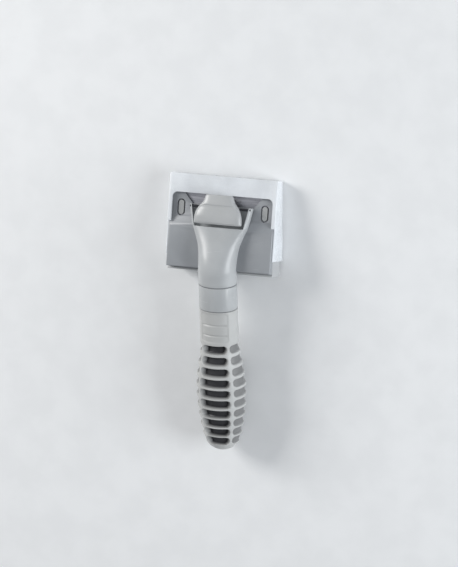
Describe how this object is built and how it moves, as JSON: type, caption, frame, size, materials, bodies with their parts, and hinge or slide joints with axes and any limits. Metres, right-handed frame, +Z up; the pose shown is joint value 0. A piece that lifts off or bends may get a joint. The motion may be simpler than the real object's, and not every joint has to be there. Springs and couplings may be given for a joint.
{
  "type": "algae scraper",
  "caption": "Hand-held aquarium glass scraper: wide clamp head with a steel blade, thumb lever, ribbed grip and a slide-off translucent blade guard.",
  "frame": {"origin": "on the table plane under the middle of the tool, lying on its back", "axes": "+X across the head, +Y from the tail towards the blade, +Z up from the table on the thumb side"},
  "size_m": [0.0742, 0.1826, 0.0336],
  "materials": {
    "sleeve_plastic": "satin, fine texture",
    "core_plastic": "dark, matt",
    "collar_plastic": "satin",
    "seal_rubber": "matt",
    "screw_steel": "turned stainless steel",
    "neck_plastic": "satin grey moulding",
    "head_plastic": "satin grey moulding",
    "blade_steel": "ground steel, ground edge",
    "peg_plastic": "satin",
    "pad_rubber": "matt",
    "lever_plastic": "satin grey moulding",
    "pin_steel": "drawn wire",
    "spring_steel": "drawn spring wire",
    "guard_plastic": "milky translucent moulding"
  },
  "bodies": {
    "tool": {"grip_sleeve": "sleeve_plastic", "grip_core": "core_plastic", "handle_collar": "collar_plastic", "seam_rings": "seal_rubber", "spigot_screw": "screw_steel", "neck_body": "neck_plastic", "neck_screws": "screw_steel", "head_front_cover": "head_plastic", "head_back_shell": "head_plastic", "head_screws": "screw_steel", "blade": "blade_steel", "blade_pegs": "peg_plastic", "blade_seat_strip": "pad_rubber", "lever_pin": "pin_steel"},
    "lever": {"clamp_lever": "lever_plastic", "clamp_pad": "pad_rubber", "lever_spring": "spring_steel"},
    "guard": {"blade_guard": "guard_plastic"}
  },
  "joints": [
    {"name": "guard_slide", "type": "slide", "parent": "tool", "child": "guard", "axis": [0, 0.9781, -0.2079], "range_m": [0, 0.056]},
    {"name": "lever_press", "type": "hinge", "parent": "tool", "child": "lever", "pos_m": [0, 0.07204, 0.01606], "axis": [1, 0, 0], "range_deg": [0, 7], "stiffness_Nm_per_rad": 0.6, "springref_deg": -6.88, "deforming": ["lever_spring"]}
  ]
}
